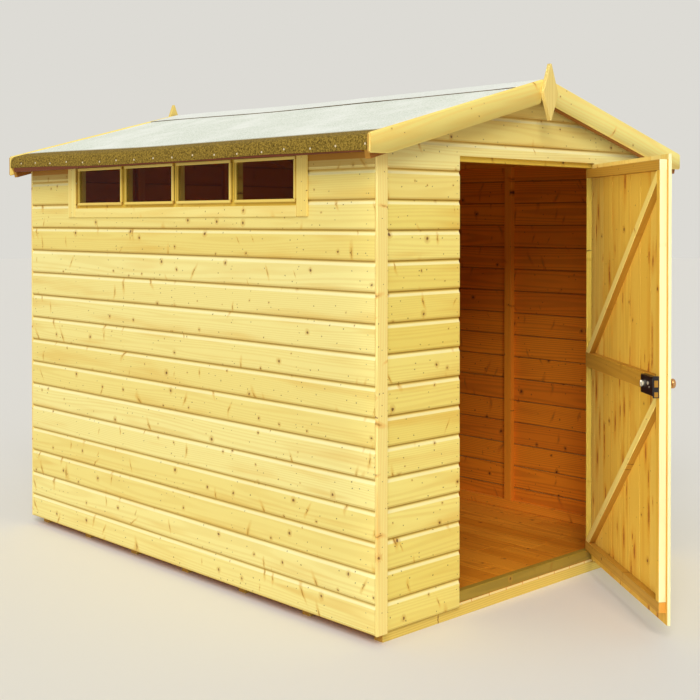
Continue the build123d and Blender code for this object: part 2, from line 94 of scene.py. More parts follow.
def softwood(name, pale, deep, late, amber, knot="#5E3B10", halo="#C98F2C", end="#B98428",
             spike_tone="#A8721E", knots=0.5, spikes=0.3, figure=0.16, rough=0.62,
             spike_shape=(21.0, 5.6, 0), spike_size=1.0, slant=2.2):
    """Pine or spruce, cut from the log. Grain is the place in the stick's own log, in
    metres: x along it, y and z from its heart, so the rings run as sawn rings do."""
    material, tree, shader = new_material(name)
    times = {"operation": "MULTIPLY"}
    times_plus = {"operation": "MULTIPLY_ADD"}
    below = {"operation": "LESS_THAN"}
    eased = {"interpolation_type": "SMOOTHSTEP"}
    in_plane = {"voronoi_dimensions": "2D"}
    grain = add(tree, "ShaderNodeAttribute", {"attribute_name": "grain"}).outputs["Vector"]
    tint, end_grain_and_shade, painted_cove_highlight = (add(tree, "ShaderNodeAttribute", {"attribute_name": label}).outputs["Fac"]
                             for label in ("tint", "end_grain_and_shade", "painted_cove_highlight"))

    # branch knots: round ones 3 to 12 mm across, in cells of about 140 mm
    ragged = add(tree, "ShaderNodeTexNoise", None, {"Vector": grain, "Scale": 70.0, "Detail": 1.0})
    flat = add(tree, "ShaderNodeVectorMath", times, {0: grain, 1: (1, 1, 0)})
    flat = add(tree, "ShaderNodeVectorMath", times_plus,
               {0: ragged.outputs["Color"], 1: (0.010, 0.008, 0), 2: flat.outputs[0]})
    cells = add(tree, "ShaderNodeTexVoronoi", in_plane, {"Vector": flat.outputs[0], "Scale": 7.0})
    dice = add(tree, "ShaderNodeSeparateColor", None, {"Color": cells.outputs["Color"]})
    size = add(tree, "ShaderNodeMapRange", None,
               {"Value": dice.outputs["Green"], "To Min": 0.012, "To Max": 0.046})
    away = add(tree, "ShaderNodeMath", {"operation": "DIVIDE"},
               {0: cells.outputs["Distance"], 1: size.outputs[0]})
    chosen = add(tree, "ShaderNodeMath", below, {0: dice.outputs["Red"], 1: knots})
    core = fading(tree, away.outputs[0], chosen.outputs[0], 1.25, 0.6)
    ring_round = fading(tree, away.outputs[0], chosen.outputs[0], 3.6, 0.9)

    # spike knots: branches sawn along their length, thin slanting streaks that are
    # 10 to 30 mm long on a wall board; spike_shape is cells to the metre, along and across
    tall = add(tree, "ShaderNodeVectorMath", times, {0: grain, 1: spike_shape})
    lean = add(tree, "ShaderNodeTexNoise", None, {"Vector": grain, "Scale": 5.0, "Detail": 0.0})
    lean = add(tree, "ShaderNodeMapRange", None,
               {"Value": lean.outputs["Fac"], "From Min": 0.3, "From Max": 0.7,
                "To Min": -slant, "To Max": slant})
    height = add(tree, "ShaderNodeSeparateXYZ", None, {"Vector": tall.outputs[0]})
    shove = add(tree, "ShaderNodeMath", times, {0: lean.outputs[0], 1: height.outputs["Y"]})
    shove = add(tree, "ShaderNodeCombineXYZ", None, {"X": shove.outputs[0]})
    tall = add(tree, "ShaderNodeVectorMath", {"operation": "ADD"}, {0: tall.outputs[0], 1: shove.outputs[0]})
    tall = add(tree, "ShaderNodeVectorMath", times_plus,
               {0: ragged.outputs["Color"], 1: (0.16, 0.1, 0), 2: tall.outputs[0]})
    spike_cells = add(tree, "ShaderNodeTexVoronoi", in_plane, {"Vector": tall.outputs[0], "Scale": 1.0})
    spike_dice = add(tree, "ShaderNodeSeparateColor", None, {"Color": spike_cells.outputs["Color"]})
    spike_on = add(tree, "ShaderNodeMath", below, {0: spike_dice.outputs["Blue"], 1: spikes})
    spike_reach = add(tree, "ShaderNodeMapRange", None,
                      {"Value": spike_dice.outputs["Red"],
                       "To Min": 0.03 * spike_size, "To Max": 0.11 * spike_size})
    spike_away = add(tree, "ShaderNodeMath", {"operation": "DIVIDE"},
                     {0: spike_cells.outputs["Distance"], 1: spike_reach.outputs[0]})
    spike = fading(tree, spike_away.outputs[0], spike_on.outputs[0], 1.3, 0.3)
    glow = fading(tree, spike_away.outputs[0], spike_on.outputs[0], 3.4, 0.8)

    # pin knots and resin flecks, 4 to 5 mm across
    fleck_cells = add(tree, "ShaderNodeTexVoronoi", in_plane, {"Vector": flat.outputs[0], "Scale": 24.0})
    fleck_dice = add(tree, "ShaderNodeSeparateColor", None, {"Color": fleck_cells.outputs["Color"]})
    fleck_on = add(tree, "ShaderNodeMath", below, {0: fleck_dice.outputs["Red"], 1: knots * 0.3})
    fleck = fading(tree, fleck_cells.outputs["Distance"], fleck_on.outputs[0], 0.085, 0.03)

    # growth rings round a wandering heart; a real ring is 2 to 4 mm, drawn coarser so that it shows
    ring_spacing = 0.008
    slow = add(tree, "ShaderNodeVectorMath", times, {0: grain, 1: (0.7, 1.0, 1.0)})
    wander = add(tree, "ShaderNodeTexNoise", None, {"Vector": slow.outputs[0], "Scale": 1.0, "Detail": 1.5})
    across = add(tree, "ShaderNodeVectorMath", times, {0: grain, 1: (0, 1, 1)})
    bent = add(tree, "ShaderNodeVectorMath", times_plus,
               {0: wander.outputs["Color"], 1: (0, 0.06, 0.06), 2: across.outputs[0]})
    reach = add(tree, "ShaderNodeVectorMath", {"operation": "LENGTH"}, {0: bent.outputs[0]})
    pushed = add(tree, "ShaderNodeMath", times_plus,
                 {0: ring_round, 1: 0.012, 2: reach.outputs["Value"]})
    turns = add(tree, "ShaderNodeMath", times, {0: pushed.outputs[0], 1: math.tau / ring_spacing})
    wave = add(tree, "ShaderNodeMath", {"operation": "SINE"}, {0: turns.outputs[0]})
    band = add(tree, "ShaderNodeMapRange", eased,
               {"Value": wave.outputs[0], "From Min": -0.4, "From Max": 1.0})

    # fibres about 4 mm apart, and broad amber streaks of heartwood and resin
    fine = add(tree, "ShaderNodeVectorMath", times, {0: grain, 1: (5.0, 240.0, 240.0)})
    fibre = add(tree, "ShaderNodeTexNoise", None, {"Vector": fine.outputs[0], "Scale": 1.0, "Detail": 2.0})
    broad = add(tree, "ShaderNodeVectorMath", times, {0: grain, 1: (1.6, 17.0, 17.0)})
    streak = add(tree, "ShaderNodeTexNoise", None, {"Vector": broad.outputs[0], "Scale": 1.0, "Detail": 2.0})
    stain = add(tree, "ShaderNodeMapRange", eased,
                {"Value": streak.outputs["Fac"], "From Min": 0.5, "From Max": 0.78})

    # the tones, one laid over the other, each as strong as its share
    blend = {"data_type": "RGBA"}
    colour = add(tree, "ShaderNodeMix", blend, {0: tint, 6: linear(pale), 7: linear(deep)})
    for share, strength, tone in (
        (fibre.outputs["Fac"], figure * 0.55, late),
        (band.outputs[0], figure, late),
        (stain.outputs[0], 0.4, amber),
        # painted highlight: a pale band along the shiplap coves
        (painted_cove_highlight, 0.7, "#FFF8BC"),
        (ring_round, 0.45, halo),
        (glow, 0.5, amber),
        (spike, 0.7, spike_tone),
        (fleck, 0.8, knot),
        (core, 0.85, knot),
        # end grain darkens; on the wall boards the same attribute also carries painted shade at the laps and
        # under the eaves
        (end_grain_and_shade, 0.8, end),
    ):
        weight = add(tree, "ShaderNodeMath", times, {0: share, 1: strength})
        colour = add(tree, "ShaderNodeMix", blend,
                     {0: weight.outputs[0], 6: colour.outputs[2], 7: linear(tone)})

    high = add(tree, "ShaderNodeMath", times_plus, {0: band.outputs[0], 1: 0.5, 2: fibre.outputs["Fac"]})
    bump = add(tree, "ShaderNodeBump", None,
               {"Strength": 0.35, "Distance": 0.0006, "Height": high.outputs[0]})
    feed(tree, shader, {"Base Color": colour.outputs[2], "Normal": bump.outputs["Normal"],
                        "Roughness": rough, "Specular IOR Level": 0.35})
    return material


def separate_sticks(bm):
    """The separate pieces of a mesh, each as a list of its points, in the same order every time."""
    reached, sticks = set(), []
    for first in bm.verts:
        if first in reached:
            continue
        reached.add(first)
        stick, edge_of_search = [first], [first]
        while edge_of_search:
            point = edge_of_search.pop()
            for edge in point.link_edges:
                other = edge.other_vert(point)
                if other not in reached:
                    reached.add(other)
                    stick.append(other)
                    edge_of_search.append(other)
        sticks.append(stick)
    return sorted(sticks, key=lambda s: tuple(round(c, 3) for c in sum((v.co for v in s), Vector()) / len(s)))


grain_length = 40               # a stick starts anywhere along this many metres of grain,
grain_sideways = 0.045          # up to this far to each side
heart_distance = (0.03, 0.075)  # and between these distances from the log's heart


def give_grain(bm, seed, along=None, evenness=1.0):
    """Marks each separate stick with its place in a log of its own, and with its own tint."""
    dice = random.Random(seed)
    grain = bm.verts.layers.float_vector.new("grain")
    tint = bm.verts.layers.float.new("tint")
    end_grain_and_shade = bm.faces.layers.float.new("end_grain_and_shade")
    for stick in separate_sticks(bm):
        if along is None:
            edges = dict.fromkeys(e for v in stick for e in v.link_edges)
            longest = max(edges, key=lambda e: e.calc_length())
            length = (longest.verts[0].co - longest.verts[1].co).normalized()
        else:
            length = Vector(along)
        faces = dict.fromkeys(f for v in stick for f in v.link_faces)
        sides = [f for f in faces if abs(f.normal.dot(length)) < 0.3]
        depth = max(sides, key=lambda f: f.calc_area()).normal.copy()
        depth = (depth - length * depth.dot(length)).normalized()
        width = length.cross(depth)
        middle = sum((v.co for v in stick), Vector()) / len(stick)
        start = Vector((dice.uniform(0, grain_length), dice.uniform(-grain_sideways, grain_sideways),
                        dice.choice((-1, 1)) * dice.uniform(*heart_distance)))
        shade = 0.5 + (dice.random() - 0.5) * evenness
        for v in stick:
            out = v.co - middle
            v[grain] = Vector((out.dot(length), out.dot(width), out.dot(depth))) + start
            v[tint] = shade
        for f in faces:
            f[end_grain_and_shade] = 1.0 if abs(f.normal.dot(length)) > 0.75 else 0.0


def placed(name, data):
    """A new object in the scene, at the origin."""
    made = bpy.data.objects.new(name, data)
    scene.collection.objects.link(made)
    return made


def piece(name, bm, materials, body, slot, *stands_for):
    """Makes the finished object from a mesh and hangs it on its body."""
    mesh = bpy.data.meshes.new(name)
    bm.to_mesh(mesh)
    bm.free()
    for material in materials:
        mesh.materials.append(material)
    mesh.shade_smooth()
    mesh.set_sharp_from_angle(angle=math.radians(32))
    made = placed(name, mesh)
    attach(made, body)
    if stands_for:
        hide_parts(*stands_for)
    return made


def sawn_copy(name):
    """The CAD solids of a node as one clean mesh, with whole flat faces."""
    bm = bmesh.new()
    bm.from_mesh(nodes[name].data)
    bmesh.ops.remove_doubles(bm, verts=bm.verts, dist=0.00001)
    bmesh.ops.dissolve_limit(bm, angle_limit=math.radians(0.4), verts=bm.verts, edges=bm.edges)
    return bm


def ease_arrises(bm, width, segments=1):
    """Takes the sharp corners off, as planing and handling do."""
    sharp = [e for e in bm.edges if len(e.link_faces) == 2 and e.calc_face_angle(0) > math.radians(28)]
    bmesh.ops.bevel(bm, geom=sharp, offset=width, offset_type="OFFSET", segments=segments,
                    affect="EDGES", clamp_overlap=True)


def timber(name, node, material, seed, arris=0.0012, body="root", slot="frame_timber", along=None,
           segments=1):
    """A group of planed or sawn sticks that stands for the CAD node of the same shape."""
    bm = sawn_copy(node)
    ease_arrises(bm, arris, segments)
    give_grain(bm, seed, along)
    return piece(name, bm, [material], body, slot, node)


# sawn and dipped: rougher and more olive than the planed boards, with red-brown knots
bearer_wood = softwood("sawn_bearer_softwood", "#F4DA74", "#E6C65A", "#C09A36", "#CA9A30", knot="#7A3410",
                       knots=0.6, spikes=0.0, rough=0.8, figure=0.35)
timber("bearers", "floor_bearers", bearer_wood, 3, slot="floor_timber")


# ---- floor ----
# Tongued and grooved softwood boards, 12 mm thick, nailed down to the bearers
# and running from the door to the back wall in random lengths.

def board_box(bm, low, high):
    """One plain board between two opposite corners."""
    made = bmesh.ops.create_cube(bm, size=1.0)["verts"]
    low, high = Vector(low), Vector(high)
    for v in made:
        v.co = Vector(low[i] + (v.co[i] + 0.5) * (high[i] - low[i]) for i in range(3))


floor_low, floor_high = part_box("floor_boards")
# orange, painted shade of the dim room, strongly figured, with red-brown knots; the boards' ends are painted
# light, pale cream
room_shade_floor_wood = softwood("floor_board_softwood_painted_shade_and_light", "#F4A22A", "#DE8A1A", "#B86810", "#C46E0E", knot="#5A2F0C",
                      halo="#A05A18", end="#FFF0A4", figure=0.5, rough=0.55)
floor_count = 17
floor_width = (floor_high.x - floor_low.x) / floor_count
floor_gap = 0.0004        # each side of a joint
floor_stagger = 0.8       # joints in a run come about this far apart
floor_unevenness = 0.0006
dice = random.Random(11)
bm = bmesh.new()
for i in range(floor_count):
    x = floor_low.x + i * floor_width
    joints = sorted(floor_low.y + (j + dice.uniform(0.25, 0.75)) * floor_stagger for j in range(3))
    cuts = [floor_low.y] + joints + [floor_high.y]
    for y0, y1 in zip(cuts, cuts[1:]):
        top = floor_high.z - dice.uniform(0, floor_unevenness)
        board_box(bm, (x + floor_gap, y0 + floor_gap, floor_low.z),
                  (x + floor_width - floor_gap, y1 - floor_gap, top))
ease_arrises(bm, 0.0012)
give_grain(bm, 12, (0, 1, 0))
piece("floor", bm, [room_shade_floor_wood], "root", "floor_timber", "floor_boards")


# ---- wall frames ----
# Planed 28 x 44 mm softwood battens: bottom rails on the floor, studs, raking
# rails in the gables and top rails along the long walls, butted and nailed.

# orange inside the room, painted shade; paler round the window and the doorway, painted light; olive on the
# sill
room_shade_frame_wood = softwood("frame_batten_softwood_painted_shade", "#FFA62C", "#F08E18", "#C07010", "#C6680A", halo="#8E5212",
                      figure=0.3, rough=0.6)
painted_light_frame_wood = softwood("pale_frame_softwood_painted_light", "#F6D65C", "#E6C244", "#C69C2C", "#CA962A",
                            figure=0.2, rough=0.6)
sill_wood = softwood("door_sill_softwood", "#BC9C3A", "#A88A2E", "#887020", "#9A7820", figure=0.35, rough=0.6)
for name, node, wood, seed in (
    ("side_bottom_rail_battens", "side_bottom_rails", room_shade_frame_wood, 21),
    ("side_top_rail_battens", "side_top_rails", room_shade_frame_wood, 22),
    ("left_stud_battens", "left_studs", painted_light_frame_wood, 23),
    ("right_stud_battens", "right_studs", room_shade_frame_wood, 24),
    ("rear_stud_battens", "rear_studs", room_shade_frame_wood, 25),
    ("front_stud_battens", "front_studs", painted_light_frame_wood, 26),
    ("raking_rail_battens", "raking_rails", room_shade_frame_wood, 27),
    ("window_rail_battens", "window_rails", painted_light_frame_wood, 28),
    ("gable_bottom_rail_battens", "gable_bottom_rails", sill_wood, 29),
    ("door_head_batten", "door_head_rail", painted_light_frame_wood, 30),
):
    timber(name, node, wood, seed)


# ---- wall boards ----
# Shiplap: softwood boards with a hollow along the top edge and a rebate behind
# the bottom edge, so that each lies over the one below. Nailed to the studs.

board_cover = 0.1115
board_foot = 0.039
board_back = 0.0065
cove_radius = 0.03482
cove_foot = 0.0927
cove_steps = 9
board_thickness = 0.012
wall_gap = 0.0003
side_rows = 17
gable_rows = 19

# planed and dipped spruce: pale honey with soft rings, small dark knots and amber streaks
board_wood = softwood("dipped_shiplap_spruce", "#FDF09E", "#F4DE7C", "#DEB850", "#E0AA36", knot="#5E340A",
                      halo="#CC9228", end="#BC9030", spike_tone="#9C660E", knots=0.75, spikes=0.2, figure=0.2)
# painted shade: the gable walls are coloured a deeper yellow up to about 1.6 m
gable_shade_wood = softwood("shiplap_spruce_gable_painted_shade", "#FAEA88", "#EED666", "#DAB246", "#DEA632",
                      knot="#5E340A", halo="#C08420", end="#B08424", spike_tone="#96600E", knots=0.75,
                      spikes=0.2, figure=0.2)
# painted shade: close under the eaves the boards are coloured dark orange, as the eaves' shadow
painted_eave_shade_wood = softwood("shiplap_spruce_painted_eave_shade", "#C47E1E", "#B87216", "#965608", "#9A5406",
                      knots=0.5, spikes=0.0, figure=0.2)
# the backs of the boards are sawn; their deep orange is painted shade of the dim room
room_shade_board_wood = softwood("sawn_board_backs_painted_shade", "#FC9818", "#E88010", "#BA6409", "#C06006", knot="#3E1C06",
                      halo="#7E4208", end="#451C06", figure=0.4, rough=0.8)

# the board's section, as pairs of distance out from its back and height over its foot
section = [(board_thickness, 0.0030), (board_thickness - 0.0008, 0.0009), (board_thickness - 0.0024, 0.0),
           (board_back, 0.0), (board_back, 0.010), (0.0025, 0.010), (0.0, 0.0135), (0.0, 0.1180),
           (0.0020, 0.1207), (board_back - wall_gap, 0.1207), (board_back, board_cover)]
for step in range(1, cove_steps):
    up = board_cover + (cove_foot - board_cover) * step / cove_steps
    section.append((board_back + cove_radius - math.sqrt(cove_radius ** 2 - (board_cover - up) ** 2), up))
section += [(board_thickness - 0.0003, cove_foot + 0.0008), (board_thickness, cove_foot - 0.0008),
            (board_thickness, 0.0085)]
# painted shade where the boards lap, and a painted highlight along the rounded coves:
# how much painted shade and how much painted highlight each side of the section takes, counted from the foot
# of the face
painted_lap_shade_shares = {0: 1.0, 1: 1.0, 2: 1.0, 5: 0.6, 7: 0.6, 9: 1.0, 10: 1.0, 11: 0.8, 12: 0.45,
              len(section) - 1: 0.4}
painted_cove_highlight_shares = {13: 0.2, 14: 0.7, 15: 1.0, 16: 1.0, 17: 1.0, 18: 0.9, 19: 0.6}


def shiplap_board(start, end):
    """One board lying along X, with its back at Y 0, its face towards Y and its foot at Z 0."""
    mesh = bpy.data.meshes.new("shiplap_board")
    count = len(section)
    ends = [list(range(count))[::-1], list(range(count, 2 * count))]
    sides = [(i, (i + 1) % count, count + (i + 1) % count, count + i) for i in range(count)]
    mesh.from_pydata([(x, out, up) for x in (start, end) for out, up in section], [], ends + sides)
    for label, shares in (("painted_lap_shade", painted_lap_shade_shares), ("painted_cove_highlight", painted_cove_highlight_shares)):
        layer = mesh.attributes.new(label, "FLOAT", "FACE")
        for side, share in shares.items():
            layer.data[len(ends) + side].value = share
    return mesh


def open_tree(name, **inputs):
    """A Geometry Nodes tree with one mesh out, and its inputs under their names."""
    tree = bpy.data.node_groups.new(name, "GeometryNodeTree")
    for label, kind in inputs.items():
        tree.interface.new_socket(label, in_out="INPUT", socket_type="NodeSocket" + kind)
    tree.interface.new_socket("Geometry", in_out="OUTPUT", socket_type="NodeSocketGeometry")
    return tree, add(tree, "NodeGroupInput").outputs


def close_tree(tree, given, copies):
    """Turns a tree's copies into one plain mesh with its finish on."""
    real = add(tree, "GeometryNodeRealizeInstances", None, {"Geometry": copies})
    finished = add(tree, "GeometryNodeSetMaterial", None,
                   {"Geometry": real.outputs[0], "Material": given["Finish"]})
    add(tree, "NodeGroupOutput", None, {"Geometry": finished.outputs[0]})
    return tree


def laying_tree():
    """Lays copies of a board side by side, each a little out of line as hand-nailed boards are."""
    tree, given = open_tree("lay_boards", Geometry="Geometry", Count="Int", Start="Vector", Step="Vector",
                            Play="Vector", Seed="Int", Finish="Material")
    line = add(tree, "GeometryNodeMeshLine", {"mode": "OFFSET"},
               {"Count": given["Count"], "Start Location": given["Start"], "Offset": given["Step"]})
    laid = add(tree, "GeometryNodeInstanceOnPoints", None,
               {"Points": line.outputs["Mesh"], "Instance": given["Geometry"]})
    back = add(tree, "ShaderNodeVectorMath", {"operation": "SCALE"}, {0: given["Play"], "Scale": -1.0})
    shift = add(tree, "FunctionNodeRandomValue", {"data_type": "FLOAT_VECTOR"},
                {0: back.outputs[0], 1: given["Play"], 8: given["Seed"]})
    moved = add(tree, "GeometryNodeTranslateInstances", None,
                {"Instances": laid.outputs["Instances"], "Translation": shift.outputs[0]})
    return close_tree(tree, given, moved.outputs[0])


def made_by(tree, start, **values):
    """The plain mesh that a node tree makes from a starting mesh, as an editable mesh."""
    carrier = placed("carrier", start)
    modifier = carrier.modifiers.new("nodes", "NODES")
    modifier.node_group = tree
    for item in tree.interface.items_tree:
        if item.item_type == "SOCKET" and item.in_out == "INPUT" and item.name in values:
            modifier[item.identifier] = values[item.name]
    result = bpy.data.meshes.new_from_object(carrier.evaluated_get(bpy.context.evaluated_depsgraph_get()))
    carrier.modifiers.remove(modifier)
    bpy.data.objects.remove(carrier)
    bm = bmesh.new()
    bm.from_mesh(result)
    bpy.data.meshes.remove(result)
    return bm


lay_boards = laying_tree()


def scored(bm, point, normal, **clearing):
    """Cuts the faces of a mesh along a plane."""
    return bmesh.ops.bisect_plane(bm, geom=bm.verts[:] + bm.edges[:] + bm.faces[:], dist=1e-7,
                                  plane_co=point, plane_no=normal, **clearing)


def sawn_off(bm, point, normal):
    """Cuts away what lies beyond a plane and closes the boards' new ends."""
    cut = scored(bm, point, normal, clear_outer=True)
    edges = [e for e in cut["geom_cut"] if isinstance(e, bmesh.types.BMEdge) and e.is_valid]
    open_edges = [e for e in edges if len(e.link_faces) == 1]
    if open_edges:
        bmesh.ops.edgeloop_fill(bm, edges=open_edges)


def cut_opening(bm, left, right, foot, top):
    """Cuts a rectangular hole through boards that stand in X and Z, and returns the new mesh."""
    whole = bmesh.new()
    between = [((left, 0, 0), (-1, 0, 0)), ((right, 0, 0), (1, 0, 0))]
    for cuts in (
        [((left, 0, 0), (1, 0, 0))],
        [((right, 0, 0), (-1, 0, 0))],
        between + [((0, 0, foot), (0, 0, 1))],
        between + [((0, 0, top), (0, 0, -1))],
    ):
        share = bm.copy()
        for point, normal in cuts:
            sawn_off(share, point, normal)
        kept = bpy.data.meshes.new("share")
        share.to_mesh(kept)
        share.free()
        whole.from_mesh(kept)
        bpy.data.meshes.remove(kept)
    bm.free()
    return whole


pitch = math.radians(15.0)
left_low, left_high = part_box("left_boards_lower")
door_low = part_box("front_boards_left")[1].x
door_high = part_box("front_boards_right")[0].x
door_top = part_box("front_boards_gable")[0].z
gable_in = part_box("front_boards_left")[0].x
gable_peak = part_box("front_boards_gable")[1].z
window_foot = left_high.z
window_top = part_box("left_boards_head")[0].z
window_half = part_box("left_boards_head")[1].y
side_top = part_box("left_boards_sides")[1].z
hem_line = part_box("roof_felt_left")[0].z
# painted shade: a long wall's boards are coloured darkest down to the first of these lines, under the felt's
# hem, and darker down to the second
eaves_shade = (hem_line - 0.016, hem_line - 0.040)
# up to this line the gable walls take the painted shade; above it, the paler board wood
gable_shade_top = board_foot + 14 * board_cover    # above this the gable walls are paler
gable_roof = [((0, 0, gable_peak - wall_gap), (side * math.sin(pitch), 0, math.cos(pitch)))
              for side in (-1, 1)]
side_roof = [((0, 0, side_top - wall_gap), (0, math.sin(pitch), math.cos(pitch)))]


def clad(name, seed, start, end, rows, place, roof, openings, face_wood, *stands_for):
    """Boards one wall. The wall is made in X and Z with its face towards +Y, cut, and then placed."""
    bm = made_by(lay_boards, shiplap_board(start, end), Count=rows, Start=(0.0, 0.0, board_foot),
                 Step=(0.0, 0.0, board_cover), Play=(0.0, 0.0002, 0.0003), Seed=seed, Finish=board_wood)
    give_grain(bm, seed, (1, 0, 0))
    for opening in openings:
        bm = cut_opening(bm, *opening)
    for point, normal in roof:
        sawn_off(bm, point, normal)
    under_eaves = roof is side_roof
    if under_eaves:
        for level in eaves_shade:
            scored(bm, (0, 0, level), (0, 0, 1))
    end_grain_and_shade, painted_lap_shade = bm.faces.layers.float.get("end_grain_and_shade"), bm.faces.layers.float.get("painted_lap_shade")
    bmesh.ops.recalc_face_normals(bm, faces=bm.faces)
    for f in bm.faces:
        level = f.calc_center_median().z
        # the painted shade of the laps goes in with the end grain's darkening
        f[end_grain_and_shade] = 1.0 if abs(f.normal.x) > 0.75 else f[painted_lap_shade]
        # the backs take the room's painted shade
        f.material_index = 1 if f.normal.y < -0.5 else 0
        # painted shade of the eaves on the long walls' faces
        if under_eaves and f.normal.y > 0.5 and level > eaves_shade[1]:
            f[end_grain_and_shade] = 0.9
            f.material_index = 2 if level > eaves_shade[0] else 0
        # above the line the gable walls take the paler board wood, not the painted shade
        elif not under_eaves and f.material_index == 0 and level > gable_shade_top:
            f.material_index = 2
    bmesh.ops.transform(bm, matrix=place, verts=bm.verts)
    bmesh.ops.recalc_face_normals(bm, faces=bm.faces)
    top_wood = painted_eave_shade_wood if under_eaves else board_wood
    piece(name, bm, [face_wood, room_shade_board_wood, top_wood], "root", "boards", *stands_for)


def facing(across, out, origin):
    """The turn and shift that puts a wall made in X and Z, face towards Y, where it stands."""
    turn = Matrix((Vector(across), Vector(out), Vector((0, 0, 1)))).transposed().to_4x4()
    return Matrix.Translation(Vector(origin)) @ turn


clad("left_wall_boards", 41, left_low.y, left_high.y, side_rows,
     facing((0, 1, 0), (-1, 0, 0), (left_high.x, 0, 0)), side_roof,
     [(-window_half, window_half, window_foot, window_top)], board_wood,
     "left_boards_lower", "left_boards_sides", "left_boards_head")
clad("right_wall_boards", 42, left_low.y, left_high.y, side_rows,
     facing((0, 1, 0), (1, 0, 0), (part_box("right_boards")[0].x, 0, 0)), side_roof,
     [], board_wood, "right_boards")
clad("front_wall_boards", 43, gable_in, -gable_in, gable_rows,
     facing((1, 0, 0), (0, -1, 0), (0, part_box("front_boards_left")[1].y, 0)), gable_roof,
     [(door_low, door_high, -1.0, door_top)], gable_shade_wood,
     "front_boards_left", "front_boards_right", "front_boards_gable")
clad("rear_wall_boards", 44, gable_in, -gable_in, gable_rows,
     facing((1, 0, 0), (0, 1, 0), (0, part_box("rear_boards")[0].y, 0)), gable_roof,
     [], gable_shade_wood, "rear_boards")


# ---- board nails ----
# Round wire nails, two through each board into every batten behind it, driven
# flush by hand. Their bright heads have dulled to brown.

def nail_tree():
    """Sets a round head at every point of a mesh, square to the way that the point faces."""
    tree, given = open_tree("drive_nails", Geometry="Geometry", Sides="Int", Radius="Float", Top="Float",
                            Rise="Float", Finish="Material")
    head = add(tree, "GeometryNodeMeshCone", None,
               {"Vertices": given["Sides"], "Radius Bottom": given["Radius"], "Radius Top": given["Top"],
                "Depth": given["Rise"]})
    way = add(tree, "GeometryNodeInputNamedAttribute", {"data_type": "FLOAT_VECTOR"}, {"Name": "facing"})
    turn = add(tree, "FunctionNodeAlignRotationToVector", {"axis": "Z"}, {"Vector": way.outputs["Attribute"]})
    heads = add(tree, "GeometryNodeInstanceOnPoints", None,
                {"Points": given["Geometry"], "Instance": head.outputs["Mesh"], "Rotation": turn.outputs[0]})
    return close_tree(tree, given, heads.outputs["Instances"])


drive_nails = nail_tree()


def driven(name, spots, radius, top, rise, material, body, sides=8):
    """Nail or screw heads at spots, each of which is a place and the way that it faces."""
    start = bpy.data.meshes.new("spots")
    start.from_pydata([spot for spot, _ in spots], [], [])
    ways = start.attributes.new("facing", "FLOAT_VECTOR", "POINT")
    for i, (_, way) in enumerate(spots):
        ways.data[i].vector = way
    bm = made_by(drive_nails, start, Sides=sides, Radius=radius, Top=top, Rise=rise, Finish=material)
    piece(name, bm, [material], body, "black_metal")


def metal(name, light, dark, metallic, rough, grain=0.004):
    """A metal finish: slightly cloudy in colour and gloss, over a cloud size given in metres."""
    material, tree, shader = new_material(name)
    place = add(tree, "ShaderNodeTexCoord").outputs["Object"]
    cloud = add(tree, "ShaderNodeTexNoise", None, {"Vector": place, "Scale": 1.0 / grain, "Detail": 3.0})
    colour = add(tree, "ShaderNodeMix", {"data_type": "RGBA"},
                 {0: cloud.outputs["Fac"], 6: linear(light), 7: linear(dark)})
    gloss = add(tree, "ShaderNodeMapRange", None,
                {"Value": cloud.outputs["Fac"], "To Min": rough - 0.08, "To Max": rough + 0.1})
    dents = add(tree, "ShaderNodeBump", None,
                {"Strength": 0.3, "Distance": 0.0001, "Height": cloud.outputs["Fac"]})
    feed(tree, shader, {"Base Color": colour.outputs[2], "Roughness": gloss.outputs[0],
                        "Normal": dents.outputs["Normal"], "Metallic": metallic})
    return material


# bright wire, gone dull and brown
dull_wire = metal("dulled_wire_nails", "#A08040", "#7C6030", 0.2, 0.5)

head_sunk = 0.0004
board_face = board_thickness + wall_gap - head_sunk
gable_proud = 0.0003                      # the heads are set this far out from the gable boards' faces
nail_heights = (0.022, 0.074)             # over each board's foot
stud_lines = (-1.18, -0.8, -0.4, 0.0, 0.4, 0.8, 1.18)
front_lines = (-0.853, -0.472, 0.436, 0.853)
rear_lines = (-0.853, -0.29, 0.29, 0.853)
side_stray, gable_stray, height_stray = 0.006, 0.005, 0.004
side_clearance, gable_clearance = 0.035, 0.05     # left free under the roof
window_clearance, window_reach = 0.05, 0.87
sill_top, sill_reach = 0.1, 0.8
dice = random.Random(51)
spots = []
for row in range(side_rows):
    for up in nail_heights:
        z = board_foot + row * board_cover + up
        for y in stud_lines:
            sway = dice.uniform(-side_stray, side_stray)
            lift = dice.uniform(-height_stray, height_stray)
            if z + lift > side_top - side_clearance:
                continue
            by_window = window_foot - window_clearance < z < window_top + window_clearance
            if not (by_window and abs(y) < window_reach):
                spots.append(((left_high.x - board_face, y + sway, z + lift), (-1, 0, 0)))
            spots.append(((-left_high.x + board_face, -y + sway, z + lift), (1, 0, 0)))
for row in range(gable_rows):
    for up in nail_heights:
        z = board_foot + row * board_cover + up
        for way, y, lines in ((-1, left_low.y - gable_proud, front_lines),
                              (1, left_high.y + gable_proud, rear_lines)):
            for x in lines:
                under_roof = z < gable_peak - gable_clearance - abs(x) * math.tan(pitch)
                at_sill = way < 0 and z < sill_top and abs(x) < sill_reach
                if under_roof and not at_sill:
                    spots.append(((x + dice.uniform(-gable_stray, gable_stray), y,
                                   z + dice.uniform(-height_stray, height_stray)), (0, way, 0)))
driven("board_nails", spots, 0.0019, 0.0015, 0.0006, dull_wire, "root")


# ---- windows ----
# Four fixed panes in a row, high in the left wall, behind planed softwood beads
# pinned round each bay. Wider trims frame the row at its sides and below.

